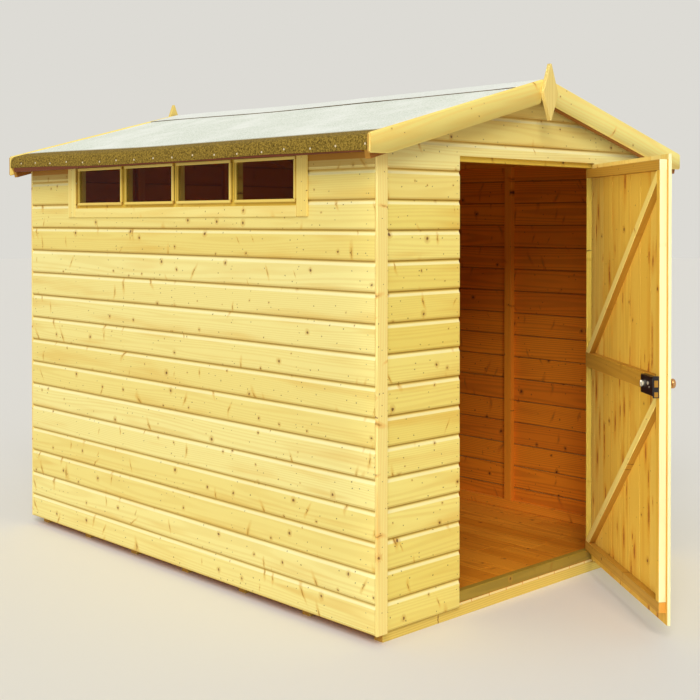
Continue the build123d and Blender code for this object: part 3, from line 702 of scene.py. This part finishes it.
# clear styrene sheet, seen straight through, with a weak reflection: its dark reddish film is painted shade
# of the dim room behind
pane, pane_tree, pane_shader = new_material("clear_styrene_sheet_painted_shade")
place = add(pane_tree, "ShaderNodeTexCoord").outputs["Object"]
film = add(pane_tree, "ShaderNodeTexNoise", None, {"Vector": place, "Scale": 9.0, "Detail": 3.0})
painted_shade_film_colour = add(pane_tree, "ShaderNodeMix", {"data_type": "RGBA"},
                  {0: film.outputs["Fac"], 6: linear("#1C0402"), 7: linear("#0E0202")})
feed(pane_tree, pane_shader, {"Base Color": painted_shade_film_colour.outputs[2], "Alpha": 0.29, "Roughness": 0.06,
                              "IOR": 1.2})


def give_finish(name, material):
    """Gives a CAD node, whose shape stays as it is, its finish."""
    for place in nodes[name].material_slots:
        place.material = material


give_finish("window_panes", pane)

# planed and dipped trim: cleaner and paler than the boards, with small knots
trim_wood = softwood("planed_trim_softwood", "#FFEE94", "#FCDF78", "#E8BE50", "#EDB848", knot="#7A4C12",
                     halo="#DDA83C", knots=0.32, spikes=0.25, figure=0.25)
# the beads are planed from nearly knotless stuff
bead_wood = softwood("window_bead_softwood", "#FCE480", "#F6D664", "#DFB94E", "#E6B546", knots=0.1,
                     spikes=0.0, figure=0.2)
# painted shade: the bead at the rear end of each bay is coloured olive
bead_shade_wood = softwood("bead_softwood_painted_shade", "#CDAA3C", "#BC982E", "#A07C22", "#AA8022", knots=0.1,
                        spikes=0.0, figure=0.2)
bead_width = 0.012
bead_lap = 0.010
bead_setback = 0.0004     # the upright beads lie a little deeper than the level ones
bead_gap = 0.0002
bead_low, bead_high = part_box("window_beads")
pane_count = 4
pane_pitch = 0.400
row_start = -2 * pane_pitch
post_half = 0.022
bm = bmesh.new()
for i in range(pane_count):
    y0 = row_start + i * pane_pitch + post_half - bead_lap
    y1 = y0 + pane_pitch - 2 * post_half + 2 * bead_lap
    for z0 in (bead_low.z, bead_high.z - bead_width):
        board_box(bm, (bead_low.x, y0, z0), (bead_high.x, y1, z0 + bead_width))
    for y in (y0, y1 - bead_width):
        board_box(bm, (bead_low.x + bead_setback, y, bead_low.z + bead_width + bead_gap),
                  (bead_high.x, y + bead_width, bead_high.z - bead_width - bead_gap))
        # the rear bead of each bay takes the painted shade
        for f in bm.faces[-6:]:
            f.material_index = 0 if y == y0 else 1
ease_arrises(bm, 0.0018, 2)
give_grain(bm, 61)
piece("window_bead_strips", bm, [bead_wood, bead_shade_wood], "root", "boards", "window_beads")
timber("window_side_trim_boards", "window_side_trims", trim_wood, 62, 0.003, slot="boards", segments=3)
timber("window_sill_trim_board", "window_sill_trim", trim_wood, 63, 0.0016, slot="boards")

trim_nail = (0.0022, 0.0017, 0.0007)      # radius at the wood and at the top, and rise
sill_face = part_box("window_sill_trim")[0].x + head_sunk
side_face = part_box("window_side_trims")[0].x + head_sunk
sill_nail_height = window_foot - 0.026
side_nail_heights = (window_foot - 0.02, window_foot + 0.09, window_top - 0.02)
side_nail_reach = 0.832
spots = [((sill_face, row_start + (i + share) * pane_pitch, sill_nail_height), (-1, 0, 0))
         for i in range(pane_count) for share in (0.2, 0.8)]
spots += [((side_face, side * side_nail_reach, z), (-1, 0, 0))
          for side in (-1, 1) for z in side_nail_heights]
driven("window_trim_nails", spots, *trim_nail, dull_wire, "root")


# ---- corner trims ----
# Planed softwood strips, nailed upright over the board ends at the four corners
# of the front and back walls.

# redder in its figure than the window trim, with more knots
corner_wood = softwood("planed_corner_softwood", "#FFF098", "#FEDE7E", "#EEBA58", "#EEA840", knot="#7A4410",
                       halo="#DC9C3A", knots=0.7, spikes=0.3, figure=0.4)
timber("corner_trim_strips", "corner_trims", corner_wood, 71, 0.0018, slot="boards")
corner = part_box("corner_trims")[1]
corner_inset = 0.027
corner_foot, corner_step, corner_count = 0.12, 0.235, 8
spots = []
for side in (-1, 1):
    for face in (-1, 1):
        for i in range(corner_count):
            x = corner.x - corner_inset + dice.uniform(-gable_stray, gable_stray)
            spots.append(((side * x, face * (corner.y - head_sunk), corner_foot + i * corner_step),
                          (0, face, 0)))
driven("corner_trim_nails", spots, *trim_nail, dull_wire, "root")


# ---- roof timbers ----
# A ridge beam and a purlin each side run from gable to gable under the deck, and
# sawn battens stiffen the deck's edges at the eaves and verges.

# rough sawn: coloured near brown at the eaves and lighter up the verges, painted shade of the overhangs
eave_batten_shade_wood = softwood("sawn_edge_batten_painted_shade", "#7A3A12", "#683009", "#4A1E05", "#522206", figure=0.4, rough=0.7)
verge_batten_shade_wood = softwood("sawn_verge_batten_painted_shade", "#B4742C", "#9A5E1C", "#74440F", "#7C4610", figure=0.4, rough=0.7)
timber("ridge_beam_timber", "ridge_beam", room_shade_frame_wood, 81)
timber("purlin_timbers", "purlins", room_shade_frame_wood, 82)
timber("eaves_batten_strips", "eaves_battens", eave_batten_shade_wood, 83)
timber("verge_batten_strips", "verge_battens", verge_batten_shade_wood, 84)


# ---- roof deck ----
# Tongued and grooved softwood, ten boards a side, 10 mm thick, nailed across the
# purlins. The planed side with its V joints faces down.

def matched_board(length, width, thickness, vee, tongue=0.004):
    """A tongued and grooved board lying along X, its width on Y and its thickness on Z."""
    middle, half = thickness / 2, thickness / 6
    play = 0.0002
    outline = [(vee, 0), (width - vee - play, 0), (width - play, vee), (width - play, middle - half),
               (width + tongue, middle - half + play), (width + tongue, middle + half - play),
               (width - play, middle + half), (width - play, thickness - vee),
               (width - vee - play, thickness), (vee, thickness), (0, thickness - vee), (0, middle + half),
               (tongue + play, middle + half), (tongue + play, middle - half), (0, middle - half), (0, vee)]
    count = len(outline)
    ends = [list(range(count)), list(range(count, 2 * count))[::-1]]
    sides = [(i, count + i, count + (i + 1) % count, (i + 1) % count) for i in range(count)]
    mesh = bpy.data.meshes.new("matched_board")
    mesh.from_pydata([(x, y, z) for x in (0, length) for y, z in outline], [], ends + sides)
    return mesh


# brown underneath
deck_wood = softwood("planed_deck_boards", "#CE8E44", "#B87830", "#8E5A1C", "#96540F", knot="#4A260A",
                     halo="#8A4C12", figure=0.4, rough=0.7)
deck_low, deck_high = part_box("roof_deck_left")
deck_count = 10
deck_thickness = 0.010
deck_vee = 0.0015
deck_setback = 0.002      # of the boards' ends, at the verges
deck_stray = 0.0015
deck_short = 0.013        # the last board stops short, so that the felt can bend over its edge
deck_width = ((deck_high.x - deck_low.x - deck_short) / math.cos(pitch)) / deck_count
for name, node, side, seed in (("left_deck_boards", "roof_deck_left", -1, 91),
                               ("right_deck_boards", "roof_deck_right", 1, 92)):
    board = matched_board(deck_high.y - deck_low.y - 2 * deck_setback, deck_width, deck_thickness, deck_vee)
    bm = made_by(lay_boards, board, Count=deck_count, Start=(deck_low.y + deck_setback, 0.0, 0.0),
                 Step=(0.0, deck_width, 0.0), Play=(deck_stray, 0.0, 0.0), Seed=seed, Finish=deck_wood)
    sawn_off(bm, (0, deck_width * deck_count, 0), (0, 1, 0))
    give_grain(bm, seed, (1, 0, 0))
    along, down = Vector((0, 1, 0)), Vector((side * math.cos(pitch), 0, -math.sin(pitch)))
    up = Vector((side * math.sin(pitch), 0, math.cos(pitch)))
    lie = Matrix((along, down, up)).transposed().to_4x4()
    bmesh.ops.transform(bm, matrix=Matrix.Translation((0, 0, gable_peak + 0.0001)) @ lie, verts=bm.verts)
    bmesh.ops.recalc_face_normals(bm, faces=bm.faces)
    piece(name, bm, [deck_wood], "root", "boards", node)


# ---- roof felt ----
# Green mineral felt: one sheet a side, bent over the eaves edge and nailed with
# a deep flap. The slope is painted pale, a painted sheen of its grit; the flap keeps its olive-brown.

def mineral_felt(name, top_pale, top_deep, flap_pale, flap_deep):
    """Bitumen felt faced with crushed slate, with a painted sheen on the slope. The attribute fold is 0 on
    the slope and 1 on the flap.
    """
    material, tree, shader = new_material(name)
    blend = {"data_type": "RGBA"}
    place = add(tree, "ShaderNodeTexCoord").outputs["Object"]
    fold = add(tree, "ShaderNodeAttribute", {"attribute_name": "fold"}).outputs["Fac"]
    # granules are about 1 mm across; they are drawn at 6 to 8 mm so that they show
    grit = add(tree, "ShaderNodeTexNoise", None,
               {"Vector": place, "Scale": 140.0, "Detail": 3.0, "Roughness": 0.75})
    grit_spread = add(tree, "ShaderNodeMapRange", None,
                      {"Value": grit.outputs["Fac"], "From Min": 0.38, "From Max": 0.62})
    bald = add(tree, "ShaderNodeTexNoise", None, {"Vector": place, "Scale": 5.0, "Detail": 4.0})
    worn = add(tree, "ShaderNodeMapRange", None,
               {"Value": bald.outputs["Fac"], "From Min": 0.45, "From Max": 0.85})
    top = add(tree, "ShaderNodeMix", blend,
              {0: grit_spread.outputs[0], 6: linear(top_deep), 7: linear(top_pale)})
    top = add(tree, "ShaderNodeMix", blend, {0: worn.outputs[0], 6: top.outputs[2], 7: linear(top_pale)})
    flap = add(tree, "ShaderNodeMix", blend,
               {0: grit_spread.outputs[0], 6: linear(flap_deep), 7: linear(flap_pale)})
    colour = add(tree, "ShaderNodeMix", blend, {0: fold, 6: top.outputs[2], 7: flap.outputs[2]})
    bump = add(tree, "ShaderNodeBump", None,
               {"Strength": 0.5, "Distance": 0.0016, "Height": grit.outputs["Fac"]})
    feed(tree, shader, {"Base Color": colour.outputs[2], "Normal": bump.outputs["Normal"],
                        "Roughness": 0.92, "Specular IOR Level": 0.2})
    return material


# painted nearly white on the slopes, a painted sheen of the grit; its green is only a tinge
felt = mineral_felt("green_mineral_felt_painted_sheen", "#FEFFF4", "#D2DAC4", "#AA8C36", "#54400E")
felt_low, felt_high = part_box("roof_felt_left")
felt_thickness = 0.003
fold_radius = 0.030
felt_edge = -felt_low.x - 0.0014    # room for the clouts' heads
felt_peak = felt_high.z
felt_stations = 128
clout_step = 0.142
flap_rise = 0.005             # the hem is cut this much short
rear_lift = 0.014             # the felt rides up on the rear barge boards
hem_waviness = 0.0055
felt_drape = 0.0009
flap_bulge = 0.0012           # between one clout and the next
flap_reach = fold_radius * math.tan((math.pi / 2 - pitch) / 2)
eave_corner = Vector((felt_edge, felt_peak - felt_edge * math.tan(pitch)))


def smooth_wave(dice, count, size):
    """A smooth random line of a few long waves, from 0 to size."""
    waves = [(dice.uniform(0.6, 1.0) / k, k * dice.uniform(2.2, 3.4), dice.uniform(0, math.tau))
             for k in (1, 2, 3, 5)]
    line = [sum(a * math.sin(f * math.pi * i / count + p) for a, f, p in waves) for i in range(count + 1)]
    low, high = min(line), max(line)
    return [size * (v - low) / (high - low) for v in line]


def lift_at(y):
    """How much higher the felt lies at a place along the shed."""
    share = max(0.0, y / felt_high.y)
    return rear_lift * share * share * (3 - 2 * share)


def felt_profile(hem, bulge, drape):
    """Points down one sheet's outer face, each with the way it faces and its share of the flap."""
    down, out = Vector((math.cos(pitch), -math.sin(pitch))), Vector((math.sin(pitch), math.cos(pitch)))
    peak = Vector((0, felt_peak))
    bend = eave_corner - down * flap_reach
    reach = (bend - peak).length
    slope = [(i / 12, 0.0) for i in range(12)]
    # the tones change between 85 and 55 mm above the bend: the painted sheen gives way to the flap's
    # olive-brown, as painted shade round the fold
    slope += [(1 - 0.085 / reach, 0.0), (1 - 0.055 / reach, 1.0), (1.0, 1.0)]
    line = []
    for share, fold in slope:
        sag = drape * math.sin(share * math.pi) ** 2
        line.append((peak + (bend - peak) * share - out * sag, out.copy(), fold))
    middle = bend - out * fold_radius
    turn = math.pi / 2 - pitch
    for i in range(1, 9):
        angle = turn - turn * i / 8
        way = Vector((math.cos(angle), math.sin(angle)))
        line.append((middle + way * fold_radius, way, 1.0))
    foot = eave_corner.y - flap_reach
    for i in range(1, 7):
        share = i / 6
        out_by = bulge * math.sin(share * math.pi * 0.8)
        line.append((Vector((felt_edge + out_by, foot + (hem - foot) * share)), Vector((1, 0)), 1.0))
    return line


def bent_sheet(name, rings, material, node):
    """A sheet of felt made from closed rings along the shed, of X, Y, Z and the share of the flap."""
    bm = bmesh.new()
    fold_layer = bm.verts.layers.float.new("fold")
    rows = []
    for ring in rings:
        row = []
        for x, y, z, share in ring:
            v = bm.verts.new((x, y, z + lift_at(y)))
            v[fold_layer] = share
            row.append(v)
        rows.append(row)
    size = len(rows[0])
    for a, b in zip(rows, rows[1:]):
        for k in range(size):
            bm.faces.new((a[k], a[(k + 1) % size], b[(k + 1) % size], b[k]))
    for row in (rows[0], rows[-1]):
        for k in range(size // 2 - 1):
            bm.faces.new((row[k], row[k + 1], row[size - 2 - k], row[size - 1 - k]))
    bmesh.ops.recalc_face_normals(bm, faces=bm.faces)
    piece(name, bm, [material], "root", "felt", node)


for name, node, side, seed in (("left_felt_sheet", "roof_felt_left", -1, 101),
                               ("right_felt_sheet", "roof_felt_right", 1, 102)):
    dice = random.Random(seed)
    hems = smooth_wave(dice, felt_stations, hem_waviness)
    drapes = smooth_wave(dice, felt_stations, felt_drape)
    rings = []
    for i in range(felt_stations + 1):
        y = felt_low.y + (felt_high.y - felt_low.y) * i / felt_stations
        bulge = flap_bulge * (0.5 - 0.5 * math.cos(math.tau * (y - 0.03) / clout_step))
        outer = felt_profile(felt_low.z + flap_rise + hems[i], bulge, drapes[i])
        inner = [(p - way * felt_thickness, share) for p, way, share in outer]
        # the two sheets meet on a plane at the ridge
        inner[0] = (Vector((0, outer[0][0].y - felt_thickness / math.cos(pitch))), outer[0][2])
        ring = [(p, share) for p, _, share in outer] + inner[::-1]
        rings.append([(side * p.x, y, p.y, share) for p, share in ring])
    bent_sheet(name, rings, felt, node)

# the capping strip: the same felt, cut across the roll and laid along the ridge
# the capping's top has the same painted sheen; its cut edges take the darker flap tones, painted shade of the
# gap under them
painted_sheen_cap_felt = mineral_felt("green_mineral_felt_capping", "#FAFBF2", "#E4E7DA", "#8A7350", "#4C3A2C")
cap_low, cap_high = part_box("ridge_cap")
cap_stations = 96
cap_waviness = 0.006
cap_lift = 0.0016         # at its cut edges
dice = random.Random(103)
cuts = [smooth_wave(dice, cap_stations, cap_waviness) for _ in range(2)]
lifts = [smooth_wave(dice, cap_stations, cap_lift) for _ in range(2)]
rings = []
for i in range(cap_stations + 1):
    y = cap_low.y + (cap_high.y - cap_low.y) * i / cap_stations
    outer = []
    for side, cut, lift in ((-1, cuts[0][i], lifts[0][i]), (1, cuts[1][i], lifts[1][i])):
        edge = cap_high.x - cut
        arm = [(side * edge * s, cap_high.z - edge * s * math.tan(pitch) + lift * s ** 6,
                1.0 if s == 1.0 else 0.0) for s in (1.0, 0.99, 0.9, 0.7, 0.4, 0.12)]
        outer += arm if side < 0 else [(0.0, cap_high.z, 0.0)] + arm[::-1]
    ring = outer + [(x, z - felt_thickness, share) for x, z, share in reversed(outer)]
    rings.append([(x, y, z, share) for x, z, share in ring])
bent_sheet("ridge_capping_strip", rings, painted_sheen_cap_felt, "ridge_cap")

# galvanised clout nails with broad flat heads, about every 140 mm along both flaps
zinc = metal("galvanised_clouts", "#F2E6C8", "#D8C69C", 0.15, 0.45)
clout_line = 0.5 * (felt_low.z + flap_rise + eave_corner.y) - 0.010
clout_start = 0.008       # from the front edge
clout_stray = 0.012
spots = []
dice = random.Random(104)
for side in (-1, 1):
    y = felt_low.y + clout_start
    while y < felt_high.y:
        z = clout_line + lift_at(y) + dice.uniform(-0.003, 0.005)
        spots.append(((side * (felt_edge - 0.0002), y, z), (side, 0, 0)))
        y += clout_step + dice.uniform(-clout_stray, clout_stray)
driven("felt_clouts", spots, 0.0042, 0.0036, 0.0012, zinc, "root", 12)


# ---- barge boards ----
# Planed softwood boards along the four verges, nailed over the felt's edge and
# mitred at the ridge. The front pair are cut level at the eaves.

# the brightest of the dipped timber, with few knots
barge_wood = softwood("planed_barge_softwood", "#FFF092", "#FFE67A", "#FCCA58", "#FCBA3E", knot="#7A4C12",
                      halo="#DDA83C", knots=0.35, spikes=0.12, figure=0.22)
timber("barge_board_pairs", "barge_boards", barge_wood, 111, 0.0045, slot="boards", segments=3)


# ---- finials ----
# A pointed softwood diamond screwed over the joint of the barge boards at each
# gable, sawn from a board 18 mm thick.

# knotless, its grain upright
finial_wood = softwood("planed_finial_softwood", "#F4DB84", "#EBCF70", "#D9B24C", "#DFAF44", knots=0.0,
                       spikes=0.0, figure=0.3)
timber("finial_diamonds", "finials", finial_wood, 121, 0.0016, slot="boards", along=(0, 0, 1))


# ---- door ----
# Nine tongued and grooved upright boards with V joints, the outer two ripped
# narrower, nailed to three ledges, two braces that rise from the hinge side, and
# an upright stile at the lock.

hinge = next(joint for joint in frame["record"]["behaviour"]["joints"] if joint["name"] == "door_hinge")
pin = Vector((hinge["pos_m"][0], hinge["pos_m"][1], 0.0))
door_angle = math.radians(-hinge["range_deg"][0])
opened = Matrix.Translation(pin) @ Matrix.Rotation(door_angle, 4, "Z") @ Matrix.Translation(-pin)

# planed and dipped, with long upright spike knots where branches were sawn through; its deep orange is
# painted shade on the door's inner side
door_back_shade_wood = softwood("planed_door_backs_painted_shade", "#FAD35E", "#F2C245", "#D29629", "#DA8A13", knot="#6E3008",
                     halo="#B96A12", spike_tone="#983A08", knots=0.2, spikes=0.55, figure=0.34,
                     spike_shape=(3.6, 17.0, 0), spike_size=1.7, slant=0.3)
# nearly white: painted light on the door's edges that face the light
lit_edge_wood = softwood("planed_stile_softwood_painted_light", "#FDF6C8", "#F8EEB0", "#E8D896", "#EBD088", knots=0.12,
                      spikes=0.0, figure=0.2)
leaf_left, leaf_right = -0.450, 0.414
leaf_face, leaf_back = -1.225, -1.213
leaf_foot, leaf_top = 0.059, 1.763
leaf_count = 9
leaf_pitch = 0.108
leaf_vee = 0.0011
leaf_width = leaf_right - leaf_left
leaf_rip = 0.066          # taken off the first board; the last one loses the rest
pale_ends = 0.1           # the door's end grain hardly darkens
bm = made_by(lay_boards, matched_board(leaf_top - leaf_foot, leaf_pitch, leaf_back - leaf_face, leaf_vee),
             Count=leaf_count, Start=(0.0, -leaf_rip, 0.0), Step=(0.0, leaf_pitch, 0.0),
             Play=(0.0, 0.0, 0.0002), Seed=131, Finish=door_back_shade_wood)
sawn_off(bm, (0, 0, 0), (0, -1, 0))
sawn_off(bm, (0, leaf_width, 0), (0, 1, 0))
# above the top ledge the leaf's inner face takes the paler trim wood, not the painted shade
ledge_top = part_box("door_ledges")[1].z - leaf_foot
scored(bm, (ledge_top, 0, 0), (1, 0, 0))
give_grain(bm, 131, (1, 0, 0), 1.1)
bmesh.ops.recalc_face_normals(bm, faces=bm.faces)
end_grain_and_shade = bm.faces.layers.float.get("end_grain_and_shade")
for f in bm.faces:
    at = f.calc_center_median()
    f[end_grain_and_shade] *= pale_ends
    # the inner face below the top ledge takes the painted shade, the rest the trim wood
    f.material_index = 0 if f.normal.z < -0.5 and at.z < 0.002 and at.x <= ledge_top else 1
    # the latch edge takes the painted light
    if f.normal.y > 0.9 and at.y > leaf_width - 0.001:
        f.material_index = 2
stand = Matrix(((0, 0, 1), (-1, 0, 0), (0, -1, 0))).transposed().to_4x4()
hung = opened @ Matrix.Translation((leaf_right, leaf_back, leaf_foot)) @ stand
bmesh.ops.transform(bm, matrix=hung, verts=bm.verts)
bmesh.ops.recalc_face_normals(bm, faces=bm.faces)
piece("door_leaf_boards", bm, [door_back_shade_wood, trim_wood, lit_edge_wood], "door", "door_timber", "door_boards")

# the ledges, and the edges of the braces, are coloured darker: painted shade
ledge_shade_wood = softwood("planed_ledge_softwood_painted_shade", "#D2A03A", "#C08C28", "#9E6C18", "#A66E14", end="#E8A03C",
                      knots=0.3, spikes=0.1, figure=0.25)
bm = sawn_copy("door_ledges")
ease_arrises(bm, 0.0012)
give_grain(bm, 132)
latch_way = opened.to_3x3() @ Vector((-1, 0, 0))
# the bottom ledge's end keeps its orange end-grain colour; the others' ends are as pale as the rest, and
# those towards the latch take the painted light
end_grain_and_shade = bm.faces.layers.float.get("end_grain_and_shade")
for f in bm.faces:
    if f.calc_center_median().z > 0.5:
        f[end_grain_and_shade] *= pale_ends
        f.material_index = 1 if f.normal.dot(latch_way) > 0.7 else 0
piece("door_ledge_battens", bm, [ledge_shade_wood, lit_edge_wood], "door", "door_timber", "door_ledges")

# the braces' broad faces take the paler trim wood; the stile's take the door backs' painted shade,
# and its edges the painted light
inward = opened.to_3x3() @ Vector((0, 1, 0))
for name, node, wood, face_wood, seed in (
    ("door_brace_battens", "door_braces", ledge_shade_wood, trim_wood, 133),
    ("door_stile_batten", "door_stile", lit_edge_wood, door_back_shade_wood, 134),
):
    battens = timber(name, node, wood, seed, body="door", slot="door_timber").data
    battens.materials.append(face_wood)
    for face in battens.polygons:
        if abs(face.normal.dot(inward)) > 0.7:
            face.material_index = 1


# ---- hinges ----
# Pressed steel tee hinges, powder coated black: a long strap screwed across the
# door, a plate screwed to the wall, and three knuckles on a fixed 5 mm pin.

# a thin, slightly uneven coat of baked powder
black_steel = metal("black_powder_coat", "#241C18", "#100C0A", 0.0, 0.42, 0.003)
give_finish("hinge_straps", black_steel)
give_finish("hinge_plates", black_steel)
hinge_heights = (0.121, 0.925, 1.7245)
strap_lines = (0.380, 0.290, 0.190, 0.090)
plate_line, plate_reach = 0.4445, 0.026
strap_face, plate_face = leaf_face - 0.003, -1.223
screw_sunk = 0.0003
outward = opened.to_3x3() @ Vector((0, -1, 0))
spots = [(opened @ Vector((x, strap_face + screw_sunk, z)), outward)
         for z in hinge_heights for x in strap_lines]
driven("strap_screws", spots, 0.0042, 0.0030, 0.0014, black_steel, "door", 12)
spots = [((plate_line, plate_face + screw_sunk, z + up), (0, -1, 0))
         for z in hinge_heights for up in (-plate_reach, plate_reach)]
driven("plate_screws", spots, 0.0040, 0.0029, 0.0014, black_steel, "root", 12)


# ---- lock ----
# A black rim lock screwed to the middle ledge: a steel case and forend, two brass
# bolts, a plated thumb turn and spindle inside and a brass knob outside.

# black stoving lacquer on the case, bare brass bolts, a polished knob and nickel plate
japanned = metal("japanned_lock_case", "#1E1416", "#0D080A", 0.0, 0.38, 0.006)
bolt_brass = metal("brass_bolts", "#D9A24C", "#C48C38", 1.0, 0.32)
knob_brass = metal("polished_brass_knob", "#E2B07A", "#D29A62", 1.0, 0.22)
nickel = metal("nickel_plated_turn", "#F4EEDC", "#D9D0BA", 0.75, 0.3)
give_finish("rim_lock", japanned)
give_finish("lock_bolts", bolt_brass)
give_finish("door_knob", knob_brass)


def turned(bm, outline, place, sides=20, squash=1.0):
    """A turned shape on an axis along Y: pairs of radius and height, flattened across X by squash."""
    rings = []
    for radius, height in outline:
        spokes = [math.tau * i / sides for i in range(sides)] if radius else [0.0]
        rings.append([bm.verts.new(place @ Vector((squash * radius * math.cos(angle), height,
                                                   radius * math.sin(angle)))) for angle in spokes])
    for a, b in zip(rings, rings[1:]):
        for i in range(sides):
            j = (i + 1) % sides
            corners = [a[i % len(a)], a[j % len(a)], b[j % len(b)], b[i % len(b)]]
            bm.faces.new([v for k, v in enumerate(corners) if v not in corners[:k]])


case_face = -1.162
turn_seat = case_face - 0.0003
case_middle = (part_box("rim_lock")[0].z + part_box("rim_lock")[1].z) / 2
bm = bmesh.new()
turn_place = opened @ Matrix.Translation((-0.3355, turn_seat, case_middle + 0.002))
turned(bm, [(0, 0), (0.009, 0), (0.009, 0.0016), (0.008, 0.0024), (0.0038, 0.0026), (0, 0.0026)], turn_place)
turned(bm, [(0, 0.002), (0.0110, 0.0024), (0.0124, 0.005), (0.0124, 0.008), (0.0110, 0.0105),
            (0.006, 0.0116), (0, 0.0118)], turn_place, squash=0.34)
# the spindle's collar, and a small round head beside it
turned(bm, [(0, 0), (0.0072, 0), (0.0072, 0.0014), (0.0060, 0.0022), (0.0034, 0.0024), (0.0034, 0.0006),
            (0, 0.0006)], opened @ Matrix.Translation((-0.3865, turn_seat, case_middle + 0.009)))
turned(bm, [(0, 0), (0.0036, 0), (0.0036, 0.0012), (0.0024, 0.0019), (0, 0.0020)],
       opened @ Matrix.Translation((-0.3990, turn_seat, case_middle - 0.004)))
bmesh.ops.recalc_face_normals(bm, faces=bm.faces)
piece("lock_turn_and_spindle", bm, [nickel], "door", "brass")


# ---- studio: a pale floor and an even, soft light from the front and left ----
paper_reach = 40
ground = bpy.data.meshes.new("ground")
ground.from_pydata([(x * paper_reach, y * paper_reach, 0)
                    for x, y in ((-1, -1), (1, -1), (1, 1), (-1, 1))], [], [(0, 1, 2, 3)])
# matt paper, run out under the shed
paper, paper_tree, paper_shader = new_material("pale_studio_floor")
feed(paper_tree, paper_shader, {"Base Color": linear("#EDEAE2"), "Roughness": 0.9})
ground.materials.append(paper)
ground_object = placed("ground", ground)

world = bpy.data.worlds.new("studio")
world.use_nodes = True
scene.world = world
sky = world.node_tree
sky.nodes.clear()
# the light is weaker than the backdrop that is seen, straight, in gloss or through the panes
light = add(sky, "ShaderNodeBackground", None, {"Color": linear("#FFFFFF"), "Strength": 0.46})
shown = add(sky, "ShaderNodeBackground", None, {"Color": linear("#DDDBD5"), "Strength": 1.0})
path = add(sky, "ShaderNodeLightPath")
seen = add(sky, "ShaderNodeMath", {"operation": "MAXIMUM"},
           {0: path.outputs["Is Camera Ray"], 1: path.outputs["Is Transmission Ray"]})
seen = add(sky, "ShaderNodeMath", {"operation": "MAXIMUM"},
           {0: seen.outputs[0], 1: path.outputs["Is Glossy Ray"]})
both = add(sky, "ShaderNodeMixShader", None, {0: seen.outputs[0], 1: light.outputs[0], 2: shown.outputs[0]})
add(sky, "ShaderNodeOutputWorld", None, {"Surface": both.outputs[0]})

sun = bpy.data.lights.new("softbox", "SUN")
sun.energy = 2.05
sun.angle = math.radians(35)
placed("softbox", sun).rotation_euler = Vector((0.57, 0.55, -0.61)).to_track_quat("-Z", "Y").to_euler()
# a tall narrow softbox with a grid, level with the open door, lights the door's inner side
strip = bpy.data.lights.new("gridded_softbox", "AREA")
strip.shape = "RECTANGLE"
strip.size = 0.7
strip.size_y = 2.2
strip.spread = math.radians(12)
strip.energy = 2.0
strip_object = placed("gridded_softbox", strip)
strip_object.location = (-4.2, -1.75, 1.0)
strip_object.rotation_euler = Vector((1.0, 0.03, 0.0)).to_track_quat("-Z", "Y").to_euler()

lens = bpy.data.cameras.new("camera")
lens.sensor_width = 36.0
lens.lens = 61.615
lens.shift_y = -0.16537
lens.clip_end = 200.0
camera = placed("camera", lens)
camera.location = (-3.9201, -4.2387, 1.5220)
camera.rotation_euler = (math.radians(90 - 0.646), 0, math.radians(-43.676))
scene.camera = camera
scene.view_settings.view_transform = "Standard"
